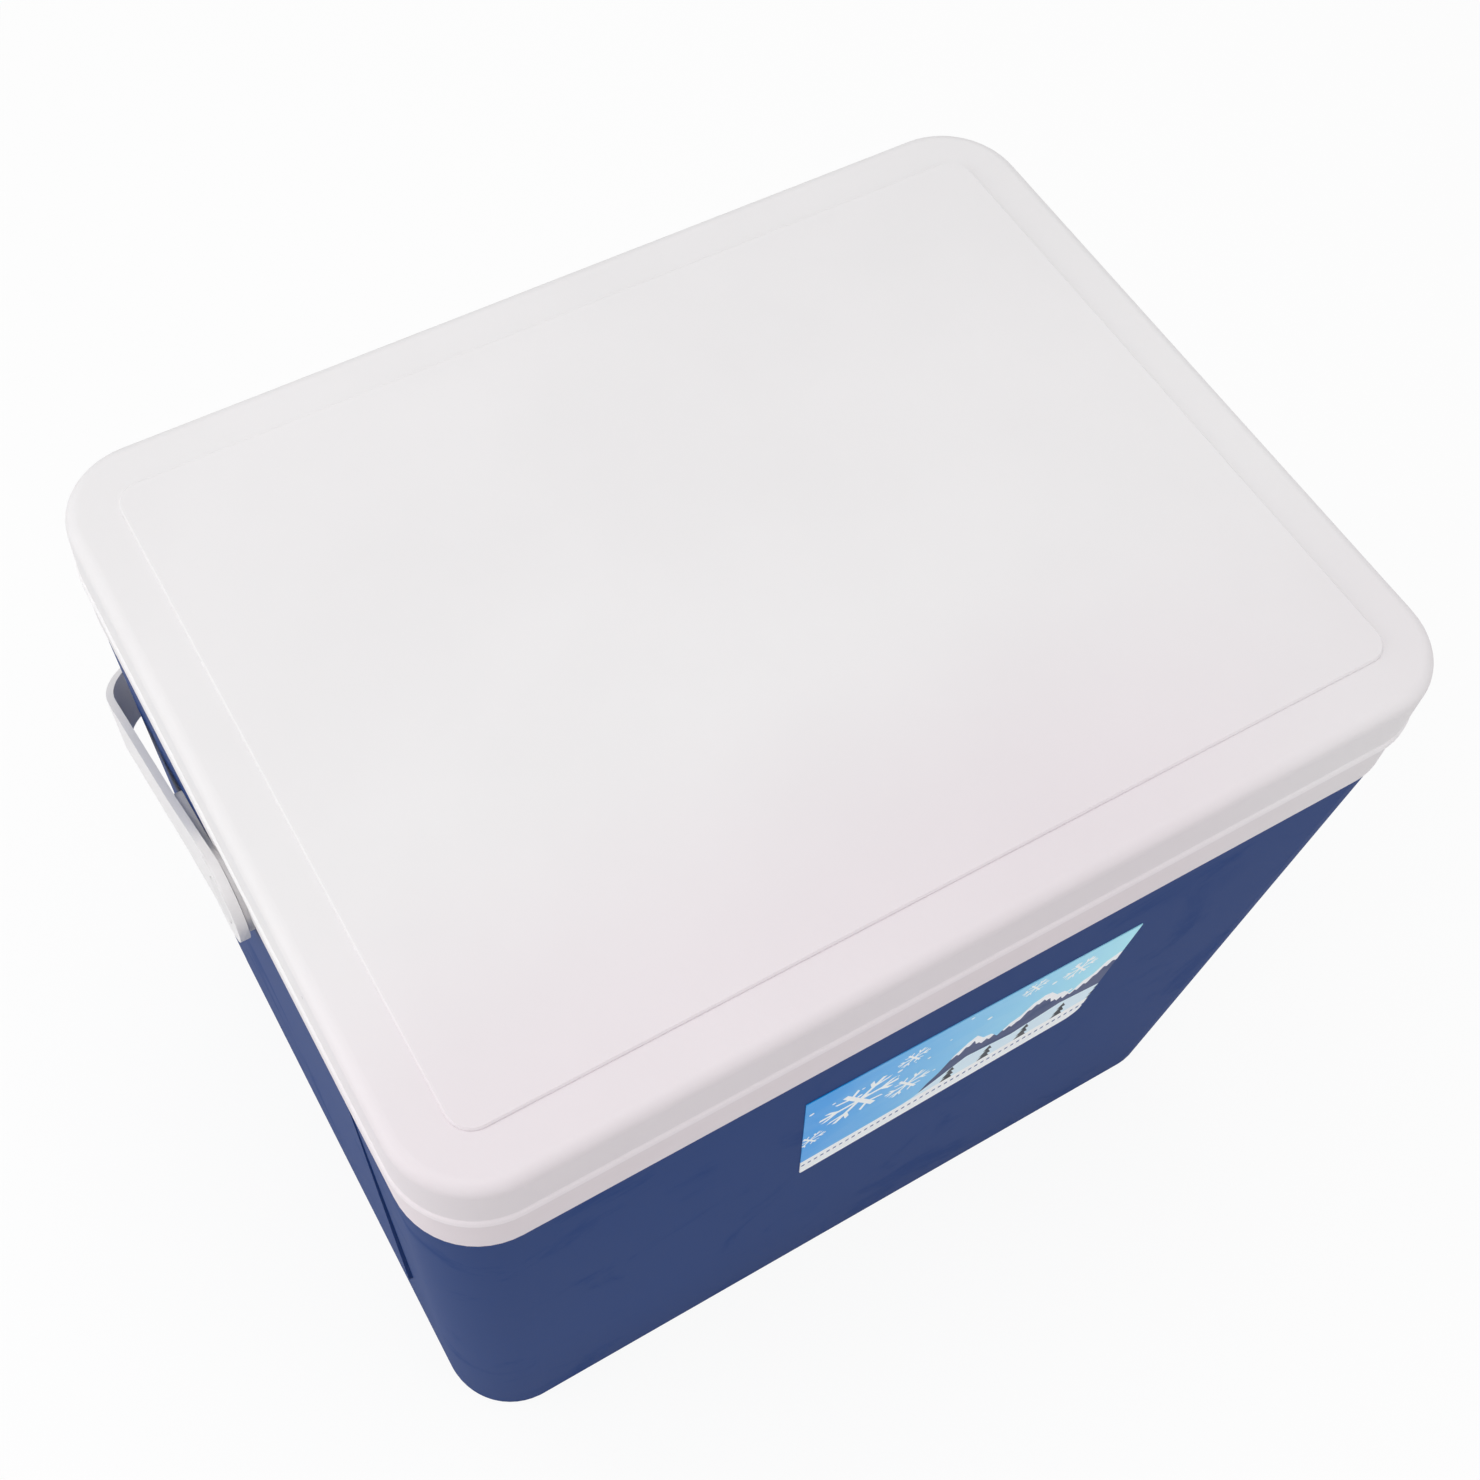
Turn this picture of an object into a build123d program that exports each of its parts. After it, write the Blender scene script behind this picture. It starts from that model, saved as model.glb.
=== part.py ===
"""Insulated vaccine carrier with a lift-off lid, a swing bail handle and ice packs.

Millimetres, +Z up, X along the length, Y towards the back, origin at the bottom centre.
"""

import math
import os

from build123d import *

os.makedirs("parts", exist_ok=True)

# Outer shell: a tub that flares towards the top
shell_height = 291.0
shell_foot_length = 367.2
shell_foot_width = 274.8
shell_flare = 14.7
shell_corner = 29.5
shell_wall = 3.0
foot_edge_radius = 5.0
foot_ring_width = 24.0
foot_recess_width = 42.0
foot_recess_depth = 2.5

# Proud panel on each end of the shell
panel_width = 176.0
panel_bottom = 74.0
panel_foot_proud = 1.8
panel_top_proud = 0.3
panel_corner = 9.0

# Inner liner with the rim that closes the shell
rim_band_height = 22.0
rim_overhang = 0.5
rim_edge_chamfer = 0.5
rim_hollow_inset = 7.0
rim_top_wall = 2.8
rim_skirt_depth = 9.0
tongue_height = 8.0
tongue_edge_chamfer = 1.2
liner_wall = 2.5
cavity_floor = 32.0
cavity_wall_depth = 18.7
cavity_flare = 4.0
cavity_corner = 22.0
cavity_mouth_chamfer = 1.2
seat_gap = 0.3
foam_gap = 0.25

# Lid
lid_overhang = 0.9
lid_height = 30.5
lid_wall = 3.0
lid_edge_radius = 5.0
lid_lip_gap = 0.4
lid_slip_gap = 0.8
lid_panel_inset = 19.8
lid_panel_corner = 9.0
lid_panel_rise = 1.2
lid_panel_edge_chamfer = 0.6
bead_proud = 0.6
bead_height = 5.6
bead_start = 0.4
bead_radius = 2.2
bead_foot_chamfer = 1.0
plug_gap = 2.0
plug_depth = 27.0
plug_taper = 2.0
plug_edge_chamfer = 3.0
lid_liner_wall = 2.5
flange_thickness = 3.0
gasket_width = 8.0
gasket_height = 3.0
gasket_groove = 1.0
gasket_inset = 10.0
groove_side_gap = 0.1

# Bail handle, stored folded back against the rear wall
pivot_drop = 4.0
handle_fold = 30.0
handle_wall = 3.0
handle_side_gap = 0.5
handle_rest_gap = 0.35
handle_width = 22.0
handle_corner = 30.0
hub_radius = 16.0
hub_proud = 0.7
hub_taper_length = 58.0
grip_length = 118.0
grip_thickness = 9.0
grip_edge_radius = 4.0

# Handle bracket and pivot stud on each end
bracket_gap = 0.3
bracket_radius = 14.0
bracket_tongue_length = 62.0
bracket_tongue_width = 17.0
socket_wall = 4.0
socket_length = 15.0
stud_shoulder = 1.0
stud_running_gap = 0.08
stud_head_overhang = 4.0
stud_head_height = 1.7
stud_head_clearance = 0.2
stud_head_gap = 0.4
stud_tail_radius = 3.5
stud_tail_length = 11.0
stud_tail_gap = 0.1

# Front label
label_centre = 15.0
label_drop = 133.5
label_outline = [(-62.6, 0.0), (65.6, 10.4), (71.0, 95.0), (-74.7, 99.8)]
label_corner_radii = [1.5, 8.0, 1.5, 10.0]
label_thickness = 0.35

# Ice packs
pack_width = 120.0
pack_thickness = 34.0
pack_height = 178.0
pack_edge_chamfer = 4.0
pack_end_chamfer = 3.0
pack_wall_gap = 0.6
pack_pair_gap = 4.0
pack_recess_depth = 1.6
pack_recess_margin = 14.0
pack_recess_drop = 26.0
neck_radius = 10.0
neck_height = 10.0
neck_inset = 26.0
cap_wall = 3.5
cap_top = 2.0
cap_edge_chamfer = 1.2
cap_bore_gap = 0.15
cap_seat_gap = 0.3
cap_side_count = 12

# Sizes that follow from the ones above
rim_length = shell_foot_length + 2 * (shell_flare + rim_overhang)
rim_width = shell_foot_width + 2 * (shell_flare + rim_overhang)
rim_corner = shell_corner + rim_overhang
rim_height = shell_height + rim_band_height
rim_top = rim_height + tongue_height
cavity_foot_length = shell_foot_length - 2 * cavity_wall_depth
cavity_foot_width = shell_foot_width - 2 * cavity_wall_depth
lid_length = rim_length + 2 * lid_overhang
lid_width = rim_width + 2 * lid_overhang
lid_corner = rim_corner + lid_overhang
lid_top = rim_height + lid_height
tongue_length = lid_length - 2 * (lid_wall + lid_slip_gap)
tongue_width = lid_width - 2 * (lid_wall + lid_slip_gap)
tongue_corner = lid_corner - lid_wall - lid_slip_gap
gasket_corner = tongue_corner - gasket_inset
pivot_height = shell_height - pivot_drop
socket_radius = stud_tail_radius + socket_wall
stud_radius = stud_tail_radius + stud_shoulder
stud_head_radius = stud_radius + stud_head_overhang
label_bottom = shell_height - label_drop
cap_radius = neck_radius + cap_wall
cap_height = neck_height + cap_top
rim_skirt_bottom = shell_height - rim_skirt_depth
lid_lip = rim_height + lid_lip_gap
lid_underside = lid_top - lid_wall
flange_bottom = rim_top + gasket_height - gasket_groove
flange_top = flange_bottom + flange_thickness
plug_bottom = rim_top - plug_depth
shell_slope = shell_flare / shell_height
cavity_slope = cavity_flare / (rim_top - cavity_floor)
fold_cos = math.cos(math.radians(handle_fold))
fold_sin = math.sin(math.radians(handle_fold))
handle_half = lid_length / 2 + bead_proud + handle_side_gap
handle_outer = handle_half + handle_wall
hub_face = handle_outer + hub_proud
bracket_face = handle_half - bracket_gap
stud_head_floor = hub_face - stud_head_height
handle_reach = (
    shell_foot_width / 2
    + shell_slope * (pivot_height - handle_width / 2 * fold_cos)
    + handle_width / 2 * fold_sin
    + handle_rest_gap
) / (fold_cos + shell_slope * fold_sin)
arm_length = handle_reach - handle_corner


def slanted(edge):
    """Whether an edge runs up a corner of a tapered block."""
    return abs(edge.tangent_at(0).Z) > math.cos(math.radians(45))


def tapered_block(length, width, corner, low, high, flare):
    """A block of rounded outline that grows by a flare on every side."""
    with BuildPart() as form:
        with BuildSketch(Plane.XZ):
            Polygon(*tapered_side(length / 2, low, high, flare), align=None)
        extrude(amount=width, both=True)
        with BuildSketch(Plane.YZ):
            Polygon(*tapered_side(width / 2, low, high, flare), align=None)
        extrude(amount=length, both=True, mode=Mode.INTERSECT)
        fillet(form.edges().filter_by(slanted), corner)
    return form.part


def tapered_side(half_size, low, high, flare):
    """The four corners of a tapered block seen from one side."""
    return [
        (-half_size, low),
        (half_size, low),
        (half_size + flare, high),
        (-half_size - flare, high),
    ]


def block(length, width, corner, low, high):
    """A straight block of rounded outline between two heights."""
    with BuildPart() as form:
        with BuildSketch(Plane.XY.offset(low)):
            RectangleRounded(length, width, corner)
        extrude(amount=high - low)
    return form.part


def shell_form(inset, low, high):
    """The shell's tapered form, moved in by a wall, between two heights."""
    return tapered_block(
        shell_foot_length + 2 * (shell_slope * low - inset),
        shell_foot_width + 2 * (shell_slope * low - inset),
        shell_corner - inset,
        low,
        high,
        shell_slope * (high - low),
    )


def cavity_form(grow, low, high):
    """The liner's cavity, grown outwards by a wall, between two heights."""
    return tapered_block(
        cavity_foot_length + 2 * (cavity_slope * (low - cavity_floor) + grow),
        cavity_foot_width + 2 * (cavity_slope * (low - cavity_floor) + grow),
        cavity_corner + grow,
        low,
        high,
        cavity_slope * (high - low),
    )


def plug_form(inset, low, high):
    """The lid's plug, moved in by a wall, between two heights."""
    slope = plug_taper / plug_depth
    spread = slope * (low - rim_top) - plug_gap - inset
    return tapered_block(
        cavity_foot_length + 2 * (cavity_flare + spread),
        cavity_foot_width + 2 * (cavity_flare + spread),
        cavity_corner - plug_gap - inset,
        low,
        high,
        slope * (high - low),
    )


def panel_face(height):
    """How far out the proud end panel's face is at a height."""
    low = shell_foot_length / 2 + shell_slope * panel_bottom + panel_foot_proud
    top = shell_foot_length / 2 + shell_flare + panel_top_proud
    return low + (top - low) * (height - panel_bottom) / (shell_height - panel_bottom)


def end_panel_form(side):
    """The proud panel on one end of the shell, from inside its wall outwards."""
    foot_x = side * panel_face(panel_bottom)
    top_x = side * panel_face(shell_height)
    root_x = side * (shell_foot_length / 2 - shell_wall)
    with BuildPart() as form:
        with BuildSketch(Plane.XZ):
            with BuildLine():
                Polyline(
                    (root_x, panel_bottom),
                    (foot_x, panel_bottom),
                    (top_x, shell_height),
                    (root_x, shell_height),
                    close=True,
                )
            make_face()
        extrude(amount=panel_width / 2, both=True)
        fillet(form.edges().filter_by(Axis.X).group_by(Axis.Z)[0], panel_corner)
    return form.part


def pivot_bar(side, radius, start, end):
    """A round bar on one pivot's axis, between two distances from the middle."""
    with BuildPart() as form:
        with BuildSketch(Plane.YZ.offset(side * start)):
            with Locations((0, pivot_height)):
                Circle(radius)
        extrude(amount=side * (end - start))
    return form.part


def socket_notch(side, start, end, top):
    """A socket's clearance: a round bar with a straight slot up to a height."""
    radius = socket_radius + seat_gap
    with BuildPart() as form:
        with BuildSketch(Plane.YZ.offset(side * start)):
            with Locations((0, pivot_height)):
                Circle(radius)
            with Locations((0, (pivot_height + top) / 2)):
                Rectangle(2 * radius, top - pivot_height)
        extrude(amount=side * (end - start))
    return form.part


def arm_profile(half_width, round_end, length, taper_length, near_radius):
    """A handle arm seen from the end: a round eye that narrows to a strap."""
    reach_angle = math.atan2(half_width, taper_length)
    touch_angle = reach_angle + math.acos(near_radius / math.hypot(taper_length, half_width))
    touch_x = near_radius * math.cos(touch_angle)
    touch_y = near_radius * math.sin(touch_angle)
    with BuildSketch() as profile:
        Circle(near_radius)
        Polygon(
            (0, -touch_y),
            (touch_x, -touch_y),
            (taper_length, -half_width),
            (length, -half_width),
            (length, half_width),
            (taper_length, half_width),
            (touch_x, touch_y),
            (0, touch_y),
            align=None,
        )
        if round_end:
            with Locations((length, 0)):
                Circle(half_width)
    return profile.sketch


socket_inner = bracket_face - socket_length
shell_hollow = shell_form(shell_wall, shell_wall + foot_recess_depth, shell_height)
end_panels = {-1: end_panel_form(-1), 1: end_panel_form(1)}
shell_notches = {
    side: socket_notch(side, socket_inner, hub_face, shell_height + seat_gap) for side in (-1, 1)
}

# Outer shell
with BuildPart() as outer_shell:
    add(shell_form(0, 0, shell_height))
    fillet(outer_shell.edges().group_by(Axis.Z)[0], foot_edge_radius)
    add(end_panels[-1])
    add(end_panels[1])
    add(shell_hollow, mode=Mode.SUBTRACT)
    with BuildSketch():
        RectangleRounded(
            shell_foot_length - 2 * foot_ring_width,
            shell_foot_width - 2 * foot_ring_width,
            shell_corner - shell_wall,
        )
        RectangleRounded(
            shell_foot_length - 2 * (foot_ring_width + foot_recess_width),
            shell_foot_width - 2 * (foot_ring_width + foot_recess_width),
            shell_corner - shell_wall,
            mode=Mode.SUBTRACT,
        )
    extrude(amount=foot_recess_depth, mode=Mode.SUBTRACT)
    add(shell_notches[-1], mode=Mode.SUBTRACT)
    add(shell_notches[1], mode=Mode.SUBTRACT)
outer_shell.part.label = "outer_shell"
export_step(outer_shell.part, "parts/outer_shell.step")

# Inner liner: tub, hollow rim and the tongue that the lid slips over
with BuildPart() as rim_band:
    add(block(rim_length, rim_width, rim_corner, shell_height, rim_height))
    chamfer(rim_band.edges().group_by(Axis.Z)[0], rim_edge_chamfer)
    chamfer(rim_band.edges().group_by(Axis.Z)[-1], rim_edge_chamfer)

with BuildPart() as rim_tongue:
    add(block(tongue_length, tongue_width, tongue_corner, shell_height, rim_top))
    chamfer(rim_tongue.edges().group_by(Axis.Z)[-1], tongue_edge_chamfer)

rim_hollow = block(
    rim_length - 2 * rim_hollow_inset,
    rim_width - 2 * rim_hollow_inset,
    rim_corner - rim_hollow_inset,
    rim_skirt_bottom - seat_gap,
    rim_top - rim_top_wall,
)
tub_form = cavity_form(liner_wall, cavity_floor - liner_wall, rim_top - rim_top_wall)
tub_form_with_gap = cavity_form(liner_wall + foam_gap, cavity_floor - liner_wall - foam_gap, rim_top)
cavity = cavity_form(0, cavity_floor, rim_top)

with BuildPart() as inner_liner:
    add(rim_band.part)
    add(rim_tongue.part)
    add(shell_form(shell_wall + seat_gap, rim_skirt_bottom, shell_height))
    add(rim_hollow, mode=Mode.SUBTRACT)
    add(tub_form)
    add(cavity, mode=Mode.SUBTRACT)
    mouth = inner_liner.faces().sort_by(Axis.Z)[-1].inner_wires()[0]
    chamfer(mouth.edges(), cavity_mouth_chamfer)
    for side in (-1, 1):
        add(pivot_bar(side, socket_radius + seat_gap, socket_inner, hub_face), mode=Mode.SUBTRACT)
inner_liner.part.label = "inner_liner"
export_step(inner_liner.part, "parts/inner_liner.step")

# Body foam between the shell and the liner
with BuildPart() as body_foam:
    add(
        shell_form(
            shell_wall + foam_gap,
            shell_wall + foot_recess_depth + foam_gap,
            rim_skirt_bottom - foam_gap,
        )
    )
    add(
        block(
            rim_length - 2 * (rim_hollow_inset + foam_gap),
            rim_width - 2 * (rim_hollow_inset + foam_gap),
            rim_corner - rim_hollow_inset - foam_gap,
            rim_skirt_bottom - shell_wall,
            rim_top - rim_top_wall - foam_gap,
        )
    )
    add(tub_form_with_gap, mode=Mode.SUBTRACT)
    for side in (-1, 1):
        add(
            pivot_bar(side, socket_radius + seat_gap, socket_inner - seat_gap, hub_face),
            mode=Mode.SUBTRACT,
        )
body_foam.part.label = "body_foam"
export_step(body_foam.part, "parts/body_foam.step")

# Lid shell
with BuildPart() as lid_bead:
    add(
        block(
            lid_length + 2 * bead_proud,
            lid_width + 2 * bead_proud,
            lid_corner + bead_proud,
            lid_lip + bead_start,
            lid_lip + bead_start + bead_height,
        )
    )
    chamfer(lid_bead.edges().group_by(Axis.Z)[0], bead_foot_chamfer)
    fillet(lid_bead.edges().group_by(Axis.Z)[-1], bead_radius)

with BuildPart() as lid_plateau:
    add(
        block(
            lid_length - 2 * lid_panel_inset,
            lid_width - 2 * lid_panel_inset,
            lid_panel_corner,
            lid_underside,
            lid_top + lid_panel_rise,
        )
    )
    chamfer(lid_plateau.edges().group_by(Axis.Z)[-1], lid_panel_edge_chamfer)

lid_hollow = block(
    lid_length - 2 * lid_wall,
    lid_width - 2 * lid_wall,
    lid_corner - lid_wall,
    lid_lip,
    lid_underside,
)

with BuildPart() as lid_shell:
    add(block(lid_length, lid_width, lid_corner, lid_lip, lid_top))
    fillet(lid_shell.edges().group_by(Axis.Z)[-1], lid_edge_radius)
    add(lid_bead.part)
    add(lid_plateau.part)
    add(lid_hollow, mode=Mode.SUBTRACT)
lid_shell.part.label = "lid_shell"
export_step(lid_shell.part, "parts/lid_shell.step")

# Lid liner: a flange with a hollow plug that drops into the cavity
gasket_length = tongue_length - 2 * gasket_inset
gasket_breadth = tongue_width - 2 * gasket_inset

with BuildPart() as lid_liner:
    add(
        block(
            lid_length - 2 * (lid_wall + seat_gap),
            lid_width - 2 * (lid_wall + seat_gap),
            lid_corner - lid_wall - seat_gap,
            flange_bottom,
            flange_top,
        )
    )
    add(plug_form(0, plug_bottom, flange_bottom + flange_thickness / 2))
    chamfer(lid_liner.edges().group_by(Axis.Z)[0], plug_edge_chamfer)
    add(plug_form(lid_liner_wall, plug_bottom + lid_liner_wall, flange_top), mode=Mode.SUBTRACT)
    with BuildSketch(Plane.XY.offset(flange_bottom)):
        RectangleRounded(
            gasket_length + 2 * groove_side_gap,
            gasket_breadth + 2 * groove_side_gap,
            gasket_corner + groove_side_gap,
        )
        RectangleRounded(
            gasket_length - 2 * (gasket_width + groove_side_gap),
            gasket_breadth - 2 * (gasket_width + groove_side_gap),
            gasket_corner - gasket_width - groove_side_gap,
            mode=Mode.SUBTRACT,
        )
    extrude(amount=gasket_groove, mode=Mode.SUBTRACT)
lid_liner.part.label = "lid_liner"
export_step(lid_liner.part, "parts/lid_liner.step")

# Lid gasket on the tongue
with BuildPart() as lid_gasket:
    with BuildSketch(Plane.XY.offset(rim_top)):
        RectangleRounded(gasket_length, gasket_breadth, gasket_corner)
        RectangleRounded(
            gasket_length - 2 * gasket_width,
            gasket_breadth - 2 * gasket_width,
            gasket_corner - gasket_width,
            mode=Mode.SUBTRACT,
        )
    extrude(amount=gasket_height)
lid_gasket.part.label = "lid_gasket"
export_step(lid_gasket.part, "parts/lid_gasket.step")

# Lid foam: fills the plug and the space over the flange
with BuildPart() as lid_foam:
    add(
        block(
            lid_length - 2 * (lid_wall + foam_gap),
            lid_width - 2 * (lid_wall + foam_gap),
            lid_corner - lid_wall - foam_gap,
            flange_top + foam_gap,
            lid_underside - foam_gap,
        )
    )
    add(
        plug_form(
            lid_liner_wall + foam_gap,
            plug_bottom + lid_liner_wall + foam_gap,
            flange_top + 2 * foam_gap,
        )
    )
lid_foam.part.label = "lid_foam"
export_step(lid_foam.part, "parts/lid_foam.step")

# Bail handle
strap_plane = Plane(origin=(0, 0, pivot_height), x_dir=(1, 0, 0), z_dir=(0, fold_sin, fold_cos))
side_plane = Plane(origin=(0, 0, pivot_height), x_dir=(0, fold_cos, -fold_sin), z_dir=(1, 0, 0))

with BuildPart() as grip:
    with BuildSketch(strap_plane):
        with Locations((0, handle_reach + grip_thickness / 2)):
            Rectangle(grip_length, grip_thickness)
    extrude(amount=handle_width / 2, both=True)
    outer_face = grip.faces().sort_by(Axis((0, 0, 0), (0, fold_cos, -fold_sin)))[-1]
    fillet(outer_face.edges(), grip_edge_radius)

with BuildPart() as handle_bail:
    with BuildSketch(strap_plane):
        RectangleRounded(2 * handle_outer, 2 * (handle_reach + handle_wall), handle_corner + handle_wall)
        RectangleRounded(2 * handle_half, 2 * handle_reach, handle_corner, mode=Mode.SUBTRACT)
        with Locations((0, arm_length - hub_face)):
            Rectangle(2 * hub_face, 2 * hub_face, mode=Mode.SUBTRACT)
    extrude(amount=handle_width / 2, both=True)
    add(grip.part)
handle_bail.part.label = "handle_bail"
export_step(handle_bail.part, "parts/handle_bail.step")

# Straight arm with the hub at each end of the bail
for side, side_name in {-1: "left", 1: "right"}.items():
    with BuildPart() as handle_arm:
        with BuildSketch(side_plane.offset(side * handle_half)):
            add(arm_profile(handle_width / 2, False, arm_length, hub_taper_length, hub_radius))
        extrude(amount=side * handle_wall)
        add(pivot_bar(side, hub_radius, handle_half, hub_face))
        add(
            pivot_bar(
                side, stud_head_radius + stud_head_gap, stud_head_floor - stud_head_clearance, hub_face
            ),
            mode=Mode.SUBTRACT,
        )
        add(pivot_bar(side, stud_radius + stud_running_gap, bracket_face, hub_face), mode=Mode.SUBTRACT)
    handle_arm.part.label = f"handle_arm_{side_name}"
    export_step(handle_arm.part, f"parts/handle_arm_{side_name}.step")

# Handle bracket and pivot stud on each end
bracket_low = pivot_height - bracket_tongue_length
bracket_high = pivot_height + 2 * bracket_radius

for side, side_name in {-1: "left", 1: "right"}.items():
    with BuildPart() as bracket_plate:
        with BuildSketch(side_plane.offset(side * socket_inner)):
            add(
                arm_profile(
                    bracket_tongue_width / 2, True, bracket_tongue_length, bracket_radius * 2, bracket_radius
                )
            )
        extrude(amount=side * socket_length)

    with BuildPart() as handle_bracket:
        with BuildSketch(Plane.XZ):
            Polygon(
                (side * panel_face(bracket_low), bracket_low),
                (side * panel_face(shell_height), shell_height),
                (side * rim_length / 2, shell_height),
                (side * rim_length / 2, bracket_high),
                (side * bracket_face, bracket_high),
                (side * bracket_face, bracket_low),
                align=None,
            )
        extrude(amount=bracket_tongue_length + bracket_radius, both=True)
        add(bracket_plate.part, mode=Mode.INTERSECT)
        add(pivot_bar(side, socket_radius, socket_inner, bracket_face))
        add(
            pivot_bar(side, stud_tail_radius + stud_tail_gap, socket_inner + shell_wall, bracket_face),
            mode=Mode.SUBTRACT,
        )
    handle_bracket.part.label = f"handle_bracket_{side_name}"
    export_step(handle_bracket.part, f"parts/handle_bracket_{side_name}.step")

    with BuildPart() as pivot_stud:
        add(pivot_bar(side, stud_radius, bracket_face, hub_face - stud_head_height / 2))
        add(
            pivot_bar(
                side, stud_tail_radius, bracket_face - stud_tail_length, hub_face - stud_head_height / 2
            )
        )
        add(pivot_bar(side, stud_head_radius, stud_head_floor, hub_face))
    pivot_stud.part.label = f"pivot_stud_{side_name}"
    export_step(pivot_stud.part, f"parts/pivot_stud_{side_name}.step")

# Front label on the sloping wall
slope_length = math.hypot(1, shell_slope)
label_plane = Plane(
    origin=(label_centre, -shell_foot_width / 2 - shell_slope * label_bottom, label_bottom),
    x_dir=(1, 0, 0),
    z_dir=(0, -1 / slope_length, -shell_slope / slope_length),
)

with BuildPart() as front_label:
    with BuildSketch(label_plane) as label_face:
        Polygon(*label_outline, align=None)
        for corner_point, corner_radius in zip(label_outline, label_corner_radii):
            corner_place = label_plane.from_local_coords(corner_point + (0,))
            corner = label_face.vertices().sort_by_distance(corner_place)[0]
            fillet(corner, corner_radius)
    extrude(amount=label_thickness)
front_label.part.label = "front_label"
export_step(front_label.part, "parts/front_label.step")

# Ice packs standing on the cavity floor
with BuildPart() as pack_blank:
    Box(pack_width, pack_thickness, pack_height, align=(Align.CENTER, Align.CENTER, Align.MIN))
    chamfer(pack_blank.edges().filter_by(Axis.Z), pack_edge_chamfer)
    chamfer(pack_blank.edges().group_by(Axis.Z)[-1], pack_end_chamfer)
    with Locations((pack_width / 2 - neck_inset, 0, pack_height)):
        Cylinder(neck_radius, neck_height, align=(Align.CENTER, Align.CENTER, Align.MIN))
    for face_side in (-1, 1):
        with BuildSketch(Plane.XZ.offset(face_side * pack_thickness / 2)):
            with Locations((0, (pack_height - pack_recess_drop + pack_recess_margin) / 2)):
                Rectangle(
                    pack_width - 2 * pack_recess_margin,
                    pack_height - pack_recess_drop - pack_recess_margin,
                )
        extrude(amount=-face_side * pack_recess_depth, mode=Mode.SUBTRACT)

with BuildPart() as cap_blank:
    with BuildSketch():
        RegularPolygon(cap_radius, cap_side_count)
    extrude(amount=cap_height)
    chamfer(cap_blank.edges().group_by(Axis.Z)[-1], cap_edge_chamfer)
    with BuildSketch():
        RegularPolygon(neck_radius + cap_bore_gap, cap_side_count, major_radius=False)
    extrude(amount=neck_height, mode=Mode.SUBTRACT)

pack_x = (pack_width + pack_pair_gap) / 2
pack_y = cavity_foot_width / 2 - pack_wall_gap - pack_thickness / 2
end_pack_x = cavity_foot_length / 2 - pack_wall_gap - pack_thickness / 2
pack_places = [
    (-pack_x, -pack_y, 180),
    (pack_x, -pack_y, 0),
    (end_pack_x, 0, 90),
    (pack_x, pack_y, 0),
    (-pack_x, pack_y, 180),
    (-end_pack_x, 0, 90),
]

for number, (place_x, place_y, turn) in enumerate(pack_places, start=1):
    with BuildPart() as ice_pack:
        with Locations(Location((place_x, place_y, cavity_floor), (0, 0, turn))):
            add(pack_blank.part)
    ice_pack.part.label = f"ice_pack_{number}"
    export_step(ice_pack.part, f"parts/ice_pack_{number}.step")

    with BuildPart() as ice_pack_cap:
        with Locations(Location((place_x, place_y, cavity_floor), (0, 0, turn))):
            with Locations((pack_width / 2 - neck_inset, 0, pack_height + cap_seat_gap)):
                add(cap_blank.part)
    ice_pack_cap.part.label = f"ice_pack_cap_{number}"
    export_step(ice_pack_cap.part, f"parts/ice_pack_cap_{number}.step")
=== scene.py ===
import math

import bmesh
import bpy
from bpy.props import FloatProperty, FloatVectorProperty, IntProperty, PointerProperty
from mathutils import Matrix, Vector


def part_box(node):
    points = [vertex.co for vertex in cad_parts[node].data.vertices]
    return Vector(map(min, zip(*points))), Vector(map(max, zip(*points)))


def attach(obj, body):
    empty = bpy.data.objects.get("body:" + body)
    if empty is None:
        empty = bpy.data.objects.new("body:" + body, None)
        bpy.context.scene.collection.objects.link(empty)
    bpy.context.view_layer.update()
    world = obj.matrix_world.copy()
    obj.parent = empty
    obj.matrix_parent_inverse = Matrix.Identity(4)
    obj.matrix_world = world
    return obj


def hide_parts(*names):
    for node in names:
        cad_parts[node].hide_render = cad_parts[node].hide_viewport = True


bl_info = {
    "name": "Vaccine carrier",
    "version": (1, 0, 0),
    "blender": (4, 5, 0),
    "location": "View3D > Sidebar > Carrier",
    "description": "Finishes, label, ice packs and studio for an insulated carrier",
    "category": "Object",
}

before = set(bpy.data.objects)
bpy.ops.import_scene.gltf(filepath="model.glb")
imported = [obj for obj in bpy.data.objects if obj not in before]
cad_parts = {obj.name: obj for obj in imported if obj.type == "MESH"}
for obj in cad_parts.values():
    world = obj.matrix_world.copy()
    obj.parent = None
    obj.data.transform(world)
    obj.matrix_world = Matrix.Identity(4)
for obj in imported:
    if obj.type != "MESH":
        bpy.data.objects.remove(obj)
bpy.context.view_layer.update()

PACK_COUNT = 6


# Shared helpers


def shade(colour, factor):
    """A colour made lighter or darker by a factor."""
    return tuple(min(1.0, channel * factor) for channel in colour[:3])


def clear_selection():
    """Leaves edit mode and deselects every object."""
    if bpy.context.object and bpy.context.object.mode != "OBJECT":
        bpy.ops.object.mode_set(mode="OBJECT")
    bpy.ops.object.select_all(action="DESELECT")


def make_active(piece):
    """Selects one object alone and makes it active."""
    clear_selection()
    piece.select_set(True)
    bpy.context.view_layer.objects.active = piece


def pick_faces(piece, test):
    """In edit mode, selects only the faces that pass a test."""
    bpy.ops.mesh.select_mode(type="FACE")
    bpy.ops.mesh.select_all(action="DESELECT")
    mesh = bmesh.from_edit_mesh(piece.data)
    for face in mesh.faces:
        face.select_set(bool(test(face)))
    mesh.select_flush_mode()
    bmesh.update_edit_mesh(piece.data)


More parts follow.
